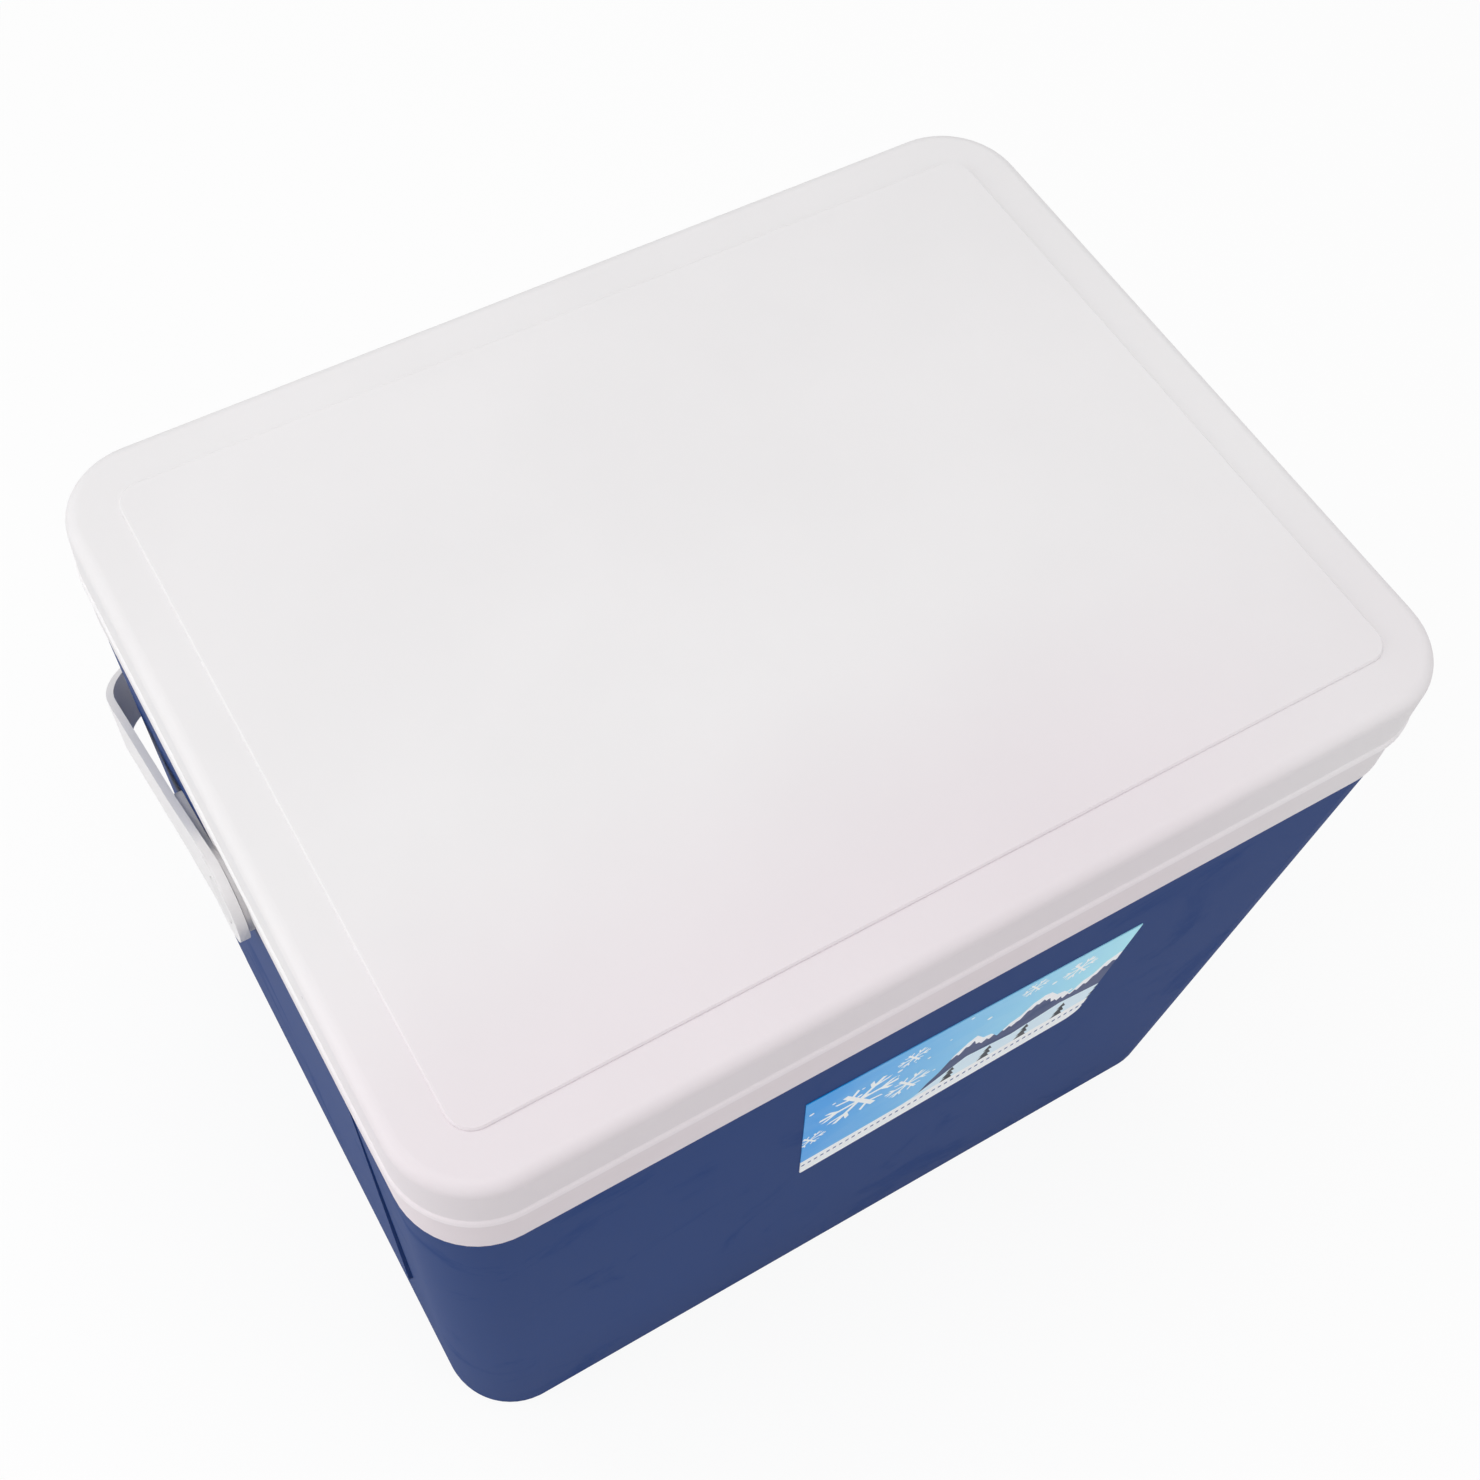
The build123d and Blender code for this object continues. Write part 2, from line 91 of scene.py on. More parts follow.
def bake_place(piece):
    """Moves an object's place, turn and size into its mesh."""
    make_active(piece)
    bpy.ops.object.transform_apply(location=True, rotation=True, scale=True)


def soften_edges(piece, width, degrees):
    """Bevels the active piece's edges that turn by more than an angle."""
    soften = piece.modifiers.new("soften", "BEVEL")
    soften.width = width
    soften.segments = 2
    soften.limit_method = "ANGLE"
    soften.angle_limit = math.radians(degrees)
    bpy.ops.object.modifier_apply(modifier="soften")


def wear(piece, *materials):
    """Gives a piece its materials, in order, in place of any it has."""
    slots = piece.data.materials
    for index, material in enumerate(materials):
        if index < len(slots):
            slots[index] = material
        else:
            slots.append(material)


def finish_node(name, material):
    """Gives a node of the frame its finish in every slot."""
    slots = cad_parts[name].data.materials
    if not len(slots):
        slots.append(material)
    for index in range(len(slots)):
        slots[index] = material


# Node helpers for materials


class Finish:
    """A new material with a few short ways to add nodes to it."""

    def __init__(self, name):
        self.material = bpy.data.materials.new(name)
        self.material.use_nodes = True
        self.tree = self.material.node_tree
        self.shader = self.tree.nodes["Principled BSDF"]
        self.coords = self.tree.nodes.new("ShaderNodeTexCoord")

    def set(self, **values):
        for key, value in values.items():
            self.shader.inputs[key.replace("_", " ")].default_value = value

    def join(self, source, target):
        self.tree.links.new(source, target)

    def place(self, scale=(1, 1, 1), turn=(0, 0, 0), shift=(0, 0, 0)):
        node = self.tree.nodes.new("ShaderNodeMapping")
        node.inputs["Scale"].default_value = scale
        node.inputs["Rotation"].default_value = turn
        node.inputs["Location"].default_value = shift
        self.join(self.coords.outputs["Object"], node.inputs["Vector"])
        return node.outputs["Vector"]

    def noise(self, scale, detail=3.0, rough=0.55, at=None, warp=0.0):
        node = self.tree.nodes.new("ShaderNodeTexNoise")
        node.inputs["Scale"].default_value = scale
        node.inputs["Detail"].default_value = detail
        node.inputs["Roughness"].default_value = rough
        node.inputs["Distortion"].default_value = warp
        self.join(at or self.coords.outputs["Object"], node.inputs["Vector"])
        return node.outputs["Fac"]

    def cells(self, scale, at=None, feature="F1"):
        node = self.tree.nodes.new("ShaderNodeTexVoronoi")
        node.feature = feature
        node.inputs["Scale"].default_value = scale
        self.join(at or self.coords.outputs["Object"], node.inputs["Vector"])
        return node.outputs["Distance"]

    def spread(self, value, low, high, to_low=0.0, to_high=1.0, smooth=True):
        node = self.tree.nodes.new("ShaderNodeMapRange")
        if smooth:
            node.interpolation_type = "SMOOTHSTEP"
        ends = (("From Min", low), ("From Max", high), ("To Min", to_low), ("To Max", to_high))
        for key, number in ends:
            node.inputs[key].default_value = number
        self.join(value, node.inputs["Value"])
        return node.outputs["Result"]

    def math(self, kind, first, second=0.0, clamp=False):
        node = self.tree.nodes.new("ShaderNodeMath")
        node.operation = kind
        node.use_clamp = clamp
        for socket, value in zip(node.inputs, (first, second)):
            if isinstance(value, (int, float)):
                socket.default_value = value
            else:
                self.join(value, socket)
        return node.outputs["Value"]

    def product(self, first, *others):
        for other in others:
            first = self.math("MULTIPLY", first, other)
        return first

    def total(self, first, *others):
        for other in others:
            first = self.math("ADD", first, other)
        return first

    def below(self, value, limit):
        return self.math("LESS_THAN", value, limit)

    def above(self, value, limit):
        return self.math("GREATER_THAN", value, limit)

    def blend(self, factor, first, second, kind="MIX"):
        node = self.tree.nodes.new("ShaderNodeMix")
        node.data_type = "RGBA"
        node.blend_type = kind
        sockets = (node.inputs[0], node.inputs[6], node.inputs[7])
        for socket, value in zip(sockets, (factor, first, second)):
            if isinstance(value, (int, float)):
                socket.default_value = value
            elif isinstance(value, tuple):
                socket.default_value = (*value[:3], 1.0)
            else:
                self.join(value, socket)
        return node.outputs[2]

    def colour(self, socket):
        self.join(socket, self.shader.inputs["Base Color"])

    def roughness(self, socket):
        self.join(socket, self.shader.inputs["Roughness"])

    def bumps(self, *layers):
        previous = None
        for height, depth, strength in layers:
            node = self.tree.nodes.new("ShaderNodeBump")
            node.inputs["Strength"].default_value = strength
            node.inputs["Distance"].default_value = depth
            self.join(height, node.inputs["Height"])
            if previous:
                self.join(previous, node.inputs["Normal"])
            previous = node.outputs["Normal"]
        self.join(previous, self.shader.inputs["Normal"])

    def axis(self, name, at=None):
        node = self.tree.nodes.new("ShaderNodeSeparateXYZ")
        self.join(at or self.coords.outputs["Object"], node.inputs["Vector"])
        return node.outputs[name]


def moulded(
    name, colour, roughness, scuffs, grain=900.0, grain_depth=0.00006, soft=0.0, shine=0.5,
    painted_highlight_band=None, painted_front_shade=None, specks=0.0,
):
    """Injection-moulded plastic with soft colour drift, fine grain, waviness, smudges and scuffs.

    A level band of it can be made paler as a painted highlight on the lid's rounded bead: the
    highlight band argument holds its low and high heights and how much.
    The painted front shade is a pinkish darkening towards the front and the left, and specks
    is how dark the dirt specks on the skirt are.
    """
    finish = Finish(name)
    drift = finish.spread(finish.noise(7.0, 4.0), 0.3, 0.7)
    smudge = finish.spread(finish.noise(19.0, 5.0, 0.65, warp=0.6), 0.52, 0.72)
    fine = finish.noise(grain, 2.0)
    along = finish.noise(34.0, 6.0, 0.7, at=finish.place((1.0, 22.0, 14.0), (0.2, 0.1, 0.5)))
    across = finish.noise(30.0, 6.0, 0.7, at=finish.place((20.0, 1.0, 16.0), (0.1, 0.3, -0.35)))
    lines_along = finish.spread(along, 0.66, 0.70)
    lines = finish.math("MAXIMUM", lines_along, finish.spread(across, 0.67, 0.71))
    where = finish.spread(finish.noise(11.0, 3.0), 0.45, 0.65)
    marks = finish.math("MULTIPLY", finish.product(lines, where), scuffs, clamp=True)
    base = finish.blend(drift, shade(colour, 0.985), shade(colour, 1.015))
    base = finish.blend(finish.product(smudge, 0.03 + 0.08 * scuffs), base, shade(colour, 0.9))
    pale = tuple(0.7 * channel + 0.2 for channel in colour[:3])
    base = finish.blend(finish.product(marks, 0.3), base, pale)
    # Painted highlight: the level band round the lid's rounded bead is made paler.
    if painted_highlight_band:
        low, high, gain = painted_highlight_band
        height = finish.axis("Z")
        painted_highlight_mask = finish.product(finish.above(height, low), finish.below(height, high))
        base = finish.blend(painted_highlight_mask, base, shade(colour, gain))
    # Painted shade: the colour is darkened and tinted pink towards the front and the left.
    if painted_front_shade:
        ahead = finish.spread(finish.axis("Y"), -0.03, -0.145)
        leftward = finish.spread(finish.axis("X"), 0.05, 0.18, 1.0, 0.35)
        base = finish.blend(finish.product(ahead, leftward), base, painted_front_shade, kind="MULTIPLY")
    if specks:
        on_skirt = finish.below(finish.axis("Z"), 0.338)
        dots = finish.product(finish.below(finish.cells(40.0), 0.026), on_skirt)
        base = finish.blend(finish.product(dots, specks), base, (0.10, 0.09, 0.10))
    finish.colour(base)
    rough = finish.spread(smudge, 0.0, 1.0, roughness, roughness + 0.07, smooth=False)
    finish.roughness(finish.math("ADD", rough, finish.product(marks, 0.25), clamp=True))
    wave = finish.noise(16.0, 2.0)
    finish.bumps((wave, 0.0006, 0.1), (fine, grain_depth, 0.35), (marks, 0.00005, 0.3))
    finish.set(Specular_IOR_Level=shine)
    if soft:
        finish.set(Subsurface_Weight=soft, Subsurface_Scale=0.004)
        finish.shader.inputs["Subsurface Radius"].default_value = (1.0, 0.9, 0.85)
    return finish


# Sizes and colours that a user would change


class CarrierFinishes(bpy.types.PropertyGroup):
    """Colours and surface wear of the mouldings."""

    shell_colour: FloatVectorProperty(
        name="Tub blue", description="Colour of the outer tub", subtype="COLOR", size=3,
        min=0.0, max=1.0, default=(0.002, 0.034, 0.168),
    )
    white_colour: FloatVectorProperty(
        name="White", description="Colour of lid, rim and handle", subtype="COLOR", size=3,
        min=0.0, max=1.0, default=(0.788, 0.773, 0.78),
    )
    liner_colour: FloatVectorProperty(
        name="Liner", description="Colour of the cavity and the rim", subtype="COLOR", size=3,
        min=0.0, max=1.0, default=(0.76, 0.74, 0.75),
    )
    foam_colour: FloatVectorProperty(
        name="Foam", description="Colour of the insulation", subtype="COLOR", size=3,
        min=0.0, max=1.0, default=(0.80, 0.70, 0.44),
    )
    gasket_colour: FloatVectorProperty(
        name="Gasket", description="Colour of the lid seal", subtype="COLOR", size=3,
        min=0.0, max=1.0, default=(0.33, 0.33, 0.32),
    )
    shell_roughness: FloatProperty(
        name="Tub roughness", description="Roughness of the tub", subtype="FACTOR",
        min=0.05, max=1.0, default=0.48,
    )
    white_roughness: FloatProperty(
        name="White roughness", description="Roughness of lid, rim and handle", subtype="FACTOR",
        min=0.05, max=1.0, default=0.5,
    )
    scuffing: FloatProperty(
        name="Scuffing", description="Amount of hairline scuffs", subtype="FACTOR",
        min=0.0, max=1.0, default=0.3,
    )


class LabelColours(bpy.types.PropertyGroup):
    """Colours of the plain printed label."""

    deep: FloatVectorProperty(
        name="Deep blue", description="Colour at the label's left", subtype="COLOR", size=3,
        min=0.0, max=1.0, default=(0.015, 0.35, 0.88),
    )
    light: FloatVectorProperty(
        name="Light blue", description="Colour at the label's right", subtype="COLOR", size=3,
        min=0.0, max=1.0, default=(0.42, 0.86, 1.0),
    )
    navy: FloatVectorProperty(
        name="Navy", description="Colour of the peaks", subtype="COLOR", size=3,
        min=0.0, max=1.0, default=(0.010, 0.035, 0.15),
    )


class IcePackSizes(bpy.types.PropertyGroup):
    """Sizes of the bottle-shaped ice packs and their caps."""

    edge_radius: FloatProperty(
        name="Edge radius", description="Rounding of the bottle's edges", subtype="DISTANCE",
        unit="LENGTH", min=0.002, max=0.012, default=0.006,
    )
    panel_depth: FloatProperty(
        name="Panel depth", description="Depth of the sunk panels", subtype="DISTANCE",
        unit="LENGTH", min=0.0005, max=0.004, default=0.0016,
    )
    panel_rows: IntProperty(
        name="Panel rows", description="Sunk panels one above another on each side",
        min=1, max=6, default=3,
    )
    cap_ribs: IntProperty(
        name="Cap ribs", description="Grip ribs round each cap", min=12, max=60, default=36,
    )
    bottle_colour: FloatVectorProperty(
        name="Bottle", description="Colour of the ice packs", subtype="COLOR", size=3,
        min=0.0, max=1.0, default=(0.55, 0.70, 0.82),
    )
    cap_colour: FloatVectorProperty(
        name="Cap", description="Colour of the screw caps", subtype="COLOR", size=3,
        min=0.0, max=1.0, default=(0.02, 0.12, 0.45),
    )


class StudioSettings(bpy.types.PropertyGroup):
    """Camera and light."""

    camera_place: FloatVectorProperty(
        name="Camera place", description="Where the camera stands", subtype="TRANSLATION",
        unit="LENGTH", size=3, default=(-0.256612, -0.332653, 0.938391),
    )
    camera_turn: FloatVectorProperty(
        name="Camera turn", description="The camera's rotation", subtype="EULER", unit="ROTATION",
        size=3, default=(math.radians(32.95911), math.radians(-2.76683), math.radians(-29.98963)),
    )
    focal_length: FloatProperty(
        name="Focal length", description="Lens on a 36 mm sensor, in millimetres",
        min=10.0, max=300.0, default=50.973,
    )
    key_power: FloatProperty(
        name="Key light", description="Power of the large light overhead", unit="POWER", min=0.0,
        max=500.0, default=21.0,
    )
    fill_power: FloatProperty(
        name="Side light", description="Power of the light at the left", unit="POWER",
        min=0.0, max=500.0, default=10.5,
    )
    front_power: FloatProperty(
        name="Front light", description="Power of the light before the front wall", unit="POWER",
        min=0.0, max=500.0, default=5.6,
    )
    sky_strength: FloatProperty(
        name="Room light", description="Strength of the even light all round", min=0.0, max=3.0,
        default=0.52,
    )


# Operators: one for each piece or group of like pieces


class CARRIER_OT_finish_tub(bpy.types.Operator):
    """Gives the outer tub its blue moulded finish"""

    bl_idname = "carrier.finish_tub"
    bl_label = "Finish Tub"

    def execute(self, context):
        look = context.scene.carrier_finishes
        finish = moulded(
            "tub_blue", tuple(look.shell_colour), look.shell_roughness, look.scuffing,
            grain=1100.0, grain_depth=0.00005, shine=0.04,
        )
        finish_node("outer_shell", finish.material)
        return {"FINISHED"}


class CARRIER_OT_finish_lid(bpy.types.Operator):
    """Gives the lid its white moulded finish, a painted highlight on its bead, painted shade
    towards the front and a few dark specks on the skirt
    """

    bl_idname = "carrier.finish_lid"
    bl_label = "Finish Lid"

    def execute(self, context):
        look = context.scene.carrier_finishes
        finish = moulded(
            "lid_white", tuple(look.white_colour), look.white_roughness, look.scuffing * 0.6,
            grain=1300.0, grain_depth=0.00004, soft=0.06, shine=0.3, painted_highlight_band=(0.3152, 0.3196, 1.13),
            painted_front_shade=(0.965, 0.91, 0.94), specks=0.6,
        )
        finish_node("lid_shell", finish.material)
        return {"FINISHED"}


class CARRIER_OT_finish_liner(bpy.types.Operator):
    """Gives the rim, the cavity and the lid's plug their white finish, with painted shade towards
    the front
    """

    bl_idname = "carrier.finish_liner"
    bl_label = "Finish Liner"

    def execute(self, context):
        look = context.scene.carrier_finishes
        # The front tint here is painted shade, pinkish and darker towards the front.
        finish = moulded(
            "liner_white", tuple(look.liner_colour), look.white_roughness + 0.05,
            look.scuffing * 0.5, grain=1300.0, soft=0.05, shine=0.3, painted_front_shade=(1.0, 0.93, 0.96),
        )
        finish_node("inner_liner", finish.material)
        finish_node("lid_liner", finish.material)
        return {"FINISHED"}


class CARRIER_OT_finish_handle(bpy.types.Operator):
    """Gives the bail, its brackets and its studs their finish"""

    bl_idname = "carrier.finish_handle"
    bl_label = "Finish Handle"

    def execute(self, context):
        look = context.scene.carrier_finishes
        bail = moulded(
            "handle_white", tuple(look.white_colour), look.white_roughness + 0.04, look.scuffing,
            grain=1500.0, soft=0.04,
        )
        for name in ("handle_bail", "handle_arm_left", "handle_arm_right"):
            finish_node(name, bail.material)
        bracket = moulded(
            "bracket_white", shade(look.white_colour, 0.97), look.white_roughness + 0.08,
            look.scuffing, grain=1500.0,
        )
        stud = moulded(
            "stud_white", shade(look.white_colour, 0.94), look.white_roughness,
            look.scuffing, grain=1700.0,
        )
        for side in ("left", "right"):
            finish_node(f"handle_bracket_{side}", bracket.material)
            finish_node(f"pivot_stud_{side}", stud.material)
        return {"FINISHED"}


class CARRIER_OT_finish_insulation(bpy.types.Operator):
    """Gives the foam its cellular finish and the seal its rubber"""

    bl_idname = "carrier.finish_insulation"
    bl_label = "Finish Insulation"

    def execute(self, context):
        look = context.scene.carrier_finishes
        foam = Finish("rigid_foam")
        colour = tuple(look.foam_colour)
        cells = foam.cells(700.0)
        patches = foam.spread(foam.noise(30.0, 4.0), 0.35, 0.65)
        body = foam.blend(patches, shade(colour, 0.9), shade(colour, 1.06))
        foam.colour(foam.blend(foam.spread(cells, 0.1, 0.5), shade(colour, 0.72), body))
        foam.bumps((cells, 0.0006, 0.8), (foam.noise(60.0, 4.0), 0.0015, 0.4))
        foam.set(Roughness=0.92, Specular_IOR_Level=0.2)
        for name in ("body_foam", "lid_foam"):
            finish_node(name, foam.material)
        seal = Finish("seal_rubber")
        grey = tuple(look.gasket_colour)
        bloom = seal.spread(seal.noise(55.0, 5.0, 0.6), 0.4, 0.75)
        seal.colour(seal.blend(bloom, shade(grey, 0.85), shade(grey, 1.25)))
        seal.roughness(seal.spread(bloom, 0.0, 1.0, 0.62, 0.85, smooth=False))
        seal.bumps((seal.noise(1400.0, 2.0), 0.00008, 0.5))
        finish_node("lid_gasket", seal.material)
        return {"FINISHED"}


class CARRIER_OT_print_label(bpy.types.Operator):
    """Prints the label: a blue gradient, snow crystals, navy peaks, pines and a white band"""

    bl_idname = "carrier.print_label"
    bl_label = "Print Label"

    # Places and sizes on the front wall, in metres: x across it, z up it
    slant = 0.075
    band_height = 0.178
    ridge_height = 0.2205
    drift_height = 0.1915
    pine_height = 0.1925
    crystals = (
        ((-0.032, 0.223), 0.017), ((-0.050, 0.203), 0.007), ((-0.012, 0.241), 0.007),
        ((-0.008, 0.207), 0.010), ((0.040, 0.245), 0.006), ((0.062, 0.238), 0.008),
    )

    def crystal(self, film, across, up, centre, size):
        """A six-armed snow crystal drawn as a mask."""
        x = film.math("SUBTRACT", across, centre[0])
        y = film.math("SUBTRACT", up, centre[1])
        radius = film.math("SQRT", film.total(film.product(x, x), film.product(y, y)))
        turn = film.math("ADD", film.math("ARCTAN2", y, x), 2 * math.pi)
        wedge = film.math("PINGPONG", turn, math.radians(30))
        along = film.product(radius, film.math("COSINE", wedge))
        aside = film.product(radius, film.math("SINE", wedge))
        arm = film.below(aside, size * 0.07)
        off_twig = film.math("SUBTRACT", film.math("SUBTRACT", along, size * 0.55), aside)
        twig = film.below(film.math("ABSOLUTE", off_twig), size * 0.075)
        shape = film.math("MAXIMUM", arm, film.product(twig, film.below(aside, size * 0.3)))
        return film.product(shape, film.below(along, size))

    def sky(self, film, ink, across, haze):
        """The blue sweep from left to right under a thin haze."""
        sweep = film.spread(across, -0.05, 0.085, smooth=False)
        field = film.blend(sweep, tuple(ink.deep), tuple(ink.light))
        return film.blend(film.product(haze, 0.10), field, (0.85, 0.95, 1.0))

    def peaks(self, film, ink, field, across, up, fall):
        """Navy peaks with snow on their tops, lower towards the left."""
        teeth = film.product(film.math("PINGPONG", film.math("ADD", across, 0.1155), 0.0165), -1.15)
        crags = film.product(film.math("PINGPONG", across, 0.0041), 0.7)
        rise = film.math("SUBTRACT", film.product(across, 0.1), fall)
        ridge = film.total(teeth, crags, rise, self.ridge_height)
        slope = film.below(up, ridge)
        field = film.blend(slope, field, tuple(ink.navy))
        notch = film.product(film.math("PINGPONG", across, 0.0017), 1.6)
        snow_low = film.math("MAXIMUM", film.math("SUBTRACT", ridge, 0.0055), 0.209)
        snow = film.product(slope, film.above(up, film.math("SUBTRACT", snow_low, notch)))
        return film.blend(snow, field, (0.97, 0.98, 1.0))

    def pines(self, film, field, across, up, fall, tilt):
        """A pale snow drift with a row of dark pines on it."""
        swell = film.product(film.math("PINGPONG", across, 0.021), 0.25)
        drift_top = film.total(swell, tilt, self.drift_height)
        drift_top = film.math("SUBTRACT", drift_top, film.product(fall, 0.45))
        field = film.blend(film.below(up, drift_top), field, (0.72, 0.88, 0.98))
        depth = film.math("SUBTRACT", film.math("ADD", tilt, self.pine_height), up)
        tier = film.product(film.math("FRACT", film.product(depth, 190.0)), 0.0014)
        half_width = film.math("ADD", tier, film.product(depth, 0.12))
        aside = film.math("PINGPONG", film.math("ADD", across, 0.0018), 0.0085)
        pine = film.product(film.below(aside, half_width), film.above(depth, 0.0))
        pine = film.product(pine, film.above(across, 0.008))
        return film.blend(pine, field, (0.006, 0.012, 0.022))

    def band(self, film, field, across, up, tilt):
        """The white band along the foot with a row of small dots."""
        edge = film.math("ADD", tilt, self.band_height)
        field = film.blend(film.below(up, edge), field, (0.96, 0.97, 0.98))
        dots = film.below(film.math("PINGPONG", across, 0.0014), 0.0007)
        row_low = film.above(up, film.math("SUBTRACT", edge, 0.0075))
        row = film.product(row_low, film.below(up, film.math("SUBTRACT", edge, 0.0055)))
        return film.blend(film.product(row, dots), field, (0.05, 0.12, 0.30))

    def snow(self, film, across, up):
        """The crystals and small flakes as one mask."""
        mask = None
        for centre, size in self.crystals:
            crystal = self.crystal(film, across, up, centre, size)
            mask = film.math("MAXIMUM", mask, crystal) if mask else crystal
        flakes = film.below(film.cells(95.0, at=film.place((1.0, 0.02, 1.0))), 0.11)
        return film.math("MAXIMUM", mask, film.product(flakes, film.above(up, 0.205)))

    def execute(self, context):
        ink = context.scene.carrier_label
        film = Finish("label_film")
        across = film.axis("X")
        up = film.axis("Z")
        haze = film.spread(film.noise(38.0, 3.0, at=film.place((1.0, 1.0, 2.2))), 0.4, 0.7)
        tilt = film.product(across, self.slant)
        fall = film.product(film.math("MAXIMUM", film.math("SUBTRACT", 0.02, across), 0.0), 1.3)

        field = self.sky(film, ink, across, haze)
        field = self.peaks(film, ink, field, across, up, fall)
        field = self.pines(film, field, across, up, fall, tilt)
        field = self.band(film, field, across, up, tilt)
        film.colour(film.blend(self.snow(film, across, up), field, (0.97, 0.99, 1.0)))

        film.roughness(film.spread(haze, 0.0, 1.0, 0.36, 0.46, smooth=False))
        film.bumps((film.noise(24.0, 3.0), 0.0006, 0.25), (film.noise(900.0, 2.0), 0.00003, 0.3))
        film.set(Specular_IOR_Level=0.12)
        finish_node("front_label", film.material)
        return {"FINISHED"}


class CARRIER_OT_build_packs(bpy.types.Operator):
    """Models one bottle-shaped ice pack and stands six of them in the cavity"""

    bl_idname = "carrier.build_packs"
    bl_label = "Build Ice Packs"

    # Sizes in metres
    neck_height = 0.010
    neck_radius = 0.010
    neck_root = 0.004  # how far the neck reaches down into the bottle
    neck_wall = 0.0018
    neck_depth = 0.008
    panels_above_foot = 0.016
    panels_below_top = 0.030
    panel_border = 0.006
    panel_slope = 0.003
    soft_edge = 0.0006

    def shape_body(self, bottle, body_height, sizes):
        """Rounds the block's edges and sinks the panels on its broad and narrow sides."""
        bpy.ops.object.mode_set(mode="EDIT")
        bpy.ops.mesh.select_all(action="SELECT")
        bpy.ops.mesh.bevel(offset=sizes.edge_radius, segments=5, affect="EDGES")
        panel_low = self.panels_above_foot
        panel_high = body_height - self.panels_below_top
        rows = sizes.panel_rows
        for row in range(rows + 1):
            height = panel_low + (panel_high - panel_low) * row / rows
            pick_faces(bottle, lambda face: True)
            bpy.ops.mesh.bisect(plane_co=(0, 0, height), plane_no=(0, 0, 1))
        pick_faces(
            bottle,
            lambda face: abs(face.normal.y) > 0.99
            and panel_low < face.calc_center_median().z < panel_high
            and face.calc_area() > 0.001,
        )
        bpy.ops.mesh.inset(thickness=self.panel_border, use_individual=True)
        bpy.ops.mesh.inset(
            thickness=self.panel_slope, depth=-sizes.panel_depth, use_individual=True,
        )
        bpy.ops.mesh.inset(thickness=0.004, depth=-0.0003, use_individual=True)
        pick_faces(bottle, lambda face: abs(face.normal.x) > 0.99 and face.calc_area() > 0.0004)
        bpy.ops.mesh.inset(thickness=0.004, use_individual=True)
        bpy.ops.mesh.inset(thickness=0.0015, depth=-0.0006, use_individual=True)
        bpy.ops.object.mode_set(mode="OBJECT")

    def make_neck(self, context, shift, body_height):
        """The open filler neck under the cap."""
        clear_selection()
        bpy.ops.mesh.primitive_cylinder_add(
            vertices=48, radius=self.neck_radius, depth=self.neck_height + self.neck_root,
            location=(shift, 0, body_height + (self.neck_height - self.neck_root) / 2),
        )
        neck = context.object
        bake_place(neck)
        bpy.ops.object.mode_set(mode="EDIT")
        pick_faces(neck, lambda face: face.normal.z > 0.9)
        bpy.ops.mesh.inset(thickness=self.neck_wall)
        bpy.ops.mesh.extrude_region_move(TRANSFORM_OT_translate={"value": (0, 0, -self.neck_depth)})
        bpy.ops.object.mode_set(mode="OBJECT")
        return neck

    def execute(self, context):
        sizes = context.scene.carrier_packs
        low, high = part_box("ice_pack_2")
        cap_low, cap_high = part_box("ice_pack_cap_2")
        width = high[0] - low[0]
        depth = high[1] - low[1]
        body_height = high[2] - low[2] - self.neck_height
        neck_shift = (cap_low[0] + cap_high[0]) / 2 - (low[0] + high[0]) / 2

        clear_selection()
        bpy.ops.mesh.primitive_cube_add(size=1.0, location=(0, 0, body_height / 2))
        bottle = context.object
        bottle.name = "ice_bottle"
        bottle.scale = (width, depth, body_height)
        bake_place(bottle)
        self.shape_body(bottle, body_height, sizes)
        neck = self.make_neck(context, neck_shift, body_height)

        make_active(bottle)
        union = bottle.modifiers.new("neck", "BOOLEAN")
        union.operation = "UNION"
        union.solver = "EXACT"
        union.object = neck
        bpy.ops.object.modifier_apply(modifier="neck")
        bpy.data.objects.remove(neck)
        soften_edges(bottle, self.soft_edge, 30)
        bpy.ops.object.shade_smooth_by_angle(angle=math.radians(35))

        finish = moulded(
            "bottle_plastic", tuple(sizes.bottle_colour), 0.34, 0.3,
            grain=700.0, grain_depth=0.0001, soft=0.35,
        )
        for number in range(1, PACK_COUNT + 1):
            low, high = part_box(f"ice_pack_{number}")
            cap_low, cap_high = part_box(f"ice_pack_cap_{number}")
            centre = (Vector(low) + Vector(high)) / 2
            cap_centre = (Vector(cap_low) + Vector(cap_high)) / 2
            pack = bottle.copy()
            pack.data = bottle.data.copy()
            pack.name = f"ice_bottle_{number}"
            context.collection.objects.link(pack)
            lean = cap_centre - centre
            pack.rotation_euler = (0, 0, math.atan2(lean.y, lean.x))
            pack.location = (centre.x, centre.y, low[2])
            bake_place(pack)
            wear(pack, finish.material)
            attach(pack, f"pack_{number}")
            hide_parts(f"ice_pack_{number}")
        bpy.data.objects.remove(bottle)
        return {"FINISHED"}


